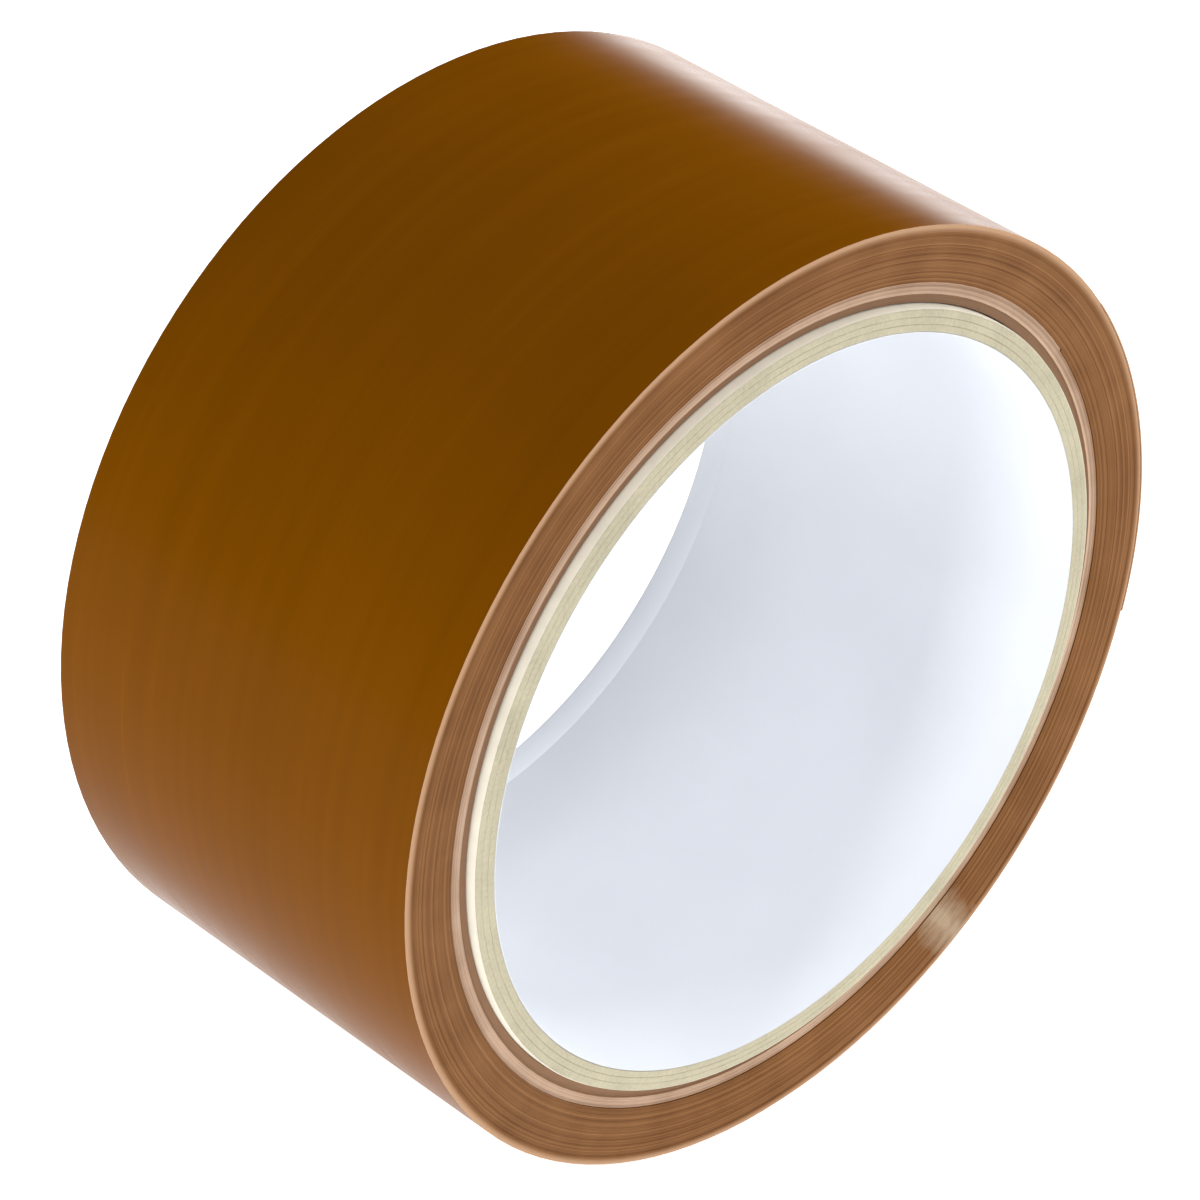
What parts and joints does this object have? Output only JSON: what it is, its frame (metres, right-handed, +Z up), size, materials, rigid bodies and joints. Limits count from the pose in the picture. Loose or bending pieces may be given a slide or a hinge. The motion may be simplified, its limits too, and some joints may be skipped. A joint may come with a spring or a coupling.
{
  "type": "tape roll",
  "caption": "Wide roll of copper-brown self-adhesive tape wound on a white-lined paper core; the loose end of the tape peels up off the roll.",
  "frame": {"origin": "centre of the roll, on its axis, halfway along the core", "axes": "Y is the roll's axis, with the pictured end facing -Y; +Z is up with the roll standing on its edge"},
  "size_m": [0.0972, 0.0488, 0.0971],
  "materials": {
    "liner_paper": "white clay-coated paper, glossy",
    "core_board": "greyboard, matt cut edge",
    "wrap_paper": "smooth cream paper",
    "first_turns_edge": "cut edges of the paler first turns, matt",
    "tape_edge": "cut edges of the wound tape, satin",
    "tape_film": "dark amber-brown film, glossy"
  },
  "bodies": {
    "roll": {"core_liner": "liner_paper", "core_ply_inner": "core_board", "core_ply_middle": "core_board", "core_ply_outer": "core_board", "core_wrap": "wrap_paper", "tape_first_turns": "first_turns_edge", "tape_pack_inner": "tape_edge", "tape_pack_middle": "tape_edge", "tape_pack_outer": "tape_film"},
    "end_link_1": {"tape_end_link_1": "tape_film"},
    "end_link_2": {"tape_end_link_2": "tape_film"},
    "end_link_3": {"tape_end_link_3": "tape_film"},
    "end_link_4": {"tape_end_link_4": "tape_film"},
    "end_link_5": {"tape_end_link_5": "tape_film"},
    "end_link_6": {"tape_end_link_6": "tape_film"},
    "end_link_7": {"tape_end_link_7": "tape_film"},
    "end_link_8": {"tape_end_link_8": "tape_film"}
  },
  "joints": [
    {"name": "tape_end_peel", "type": "hinge", "parent": "roll", "child": "end_link_1", "pos_m": [0.04083, 0, 0.02651], "axis": [0, -1, 0], "range_deg": [0, 40]},
    {"name": "tape_end_bend_2", "type": "hinge", "parent": "end_link_1", "child": "end_link_2", "pos_m": [0.04338, 0, 0.0221], "axis": [0, -1, 0], "range_deg": [0, 6]},
    {"name": "tape_end_bend_3", "type": "hinge", "parent": "end_link_2", "child": "end_link_3", "pos_m": [0.04545, 0, 0.01745], "axis": [0, -1, 0], "range_deg": [0, 6]},
    {"name": "tape_end_bend_4", "type": "hinge", "parent": "end_link_3", "child": "end_link_4", "pos_m": [0.04703, 0, 0.0126], "axis": [0, -1, 0], "range_deg": [0, 6]},
    {"name": "tape_end_bend_5", "type": "hinge", "parent": "end_link_4", "child": "end_link_5", "pos_m": [0.04809, 0, 0.00762], "axis": [0, -1, 0], "range_deg": [0, 6]},
    {"name": "tape_end_bend_6", "type": "hinge", "parent": "end_link_5", "child": "end_link_6", "pos_m": [0.04863, 0, 0.00255], "axis": [0, -1, 0], "range_deg": [0, 6]},
    {"name": "tape_end_bend_7", "type": "hinge", "parent": "end_link_6", "child": "end_link_7", "pos_m": [0.04863, 0, -0.00255], "axis": [0, -1, 0], "range_deg": [0, 6]},
    {"name": "tape_end_bend_8", "type": "hinge", "parent": "end_link_7", "child": "end_link_8", "pos_m": [0.0481, 0, -0.00762], "axis": [0, -1, 0], "range_deg": [0, 6]}
  ],
  "couplings": [
    {"joint": "tape_end_bend_2", "follows": "tape_end_peel", "ratio": 0.15},
    {"joint": "tape_end_bend_3", "follows": "tape_end_peel", "ratio": 0.15},
    {"joint": "tape_end_bend_4", "follows": "tape_end_peel", "ratio": 0.15},
    {"joint": "tape_end_bend_5", "follows": "tape_end_peel", "ratio": 0.15},
    {"joint": "tape_end_bend_6", "follows": "tape_end_peel", "ratio": 0.15},
    {"joint": "tape_end_bend_7", "follows": "tape_end_peel", "ratio": 0.15},
    {"joint": "tape_end_bend_8", "follows": "tape_end_peel", "ratio": 0.15}
  ]
}
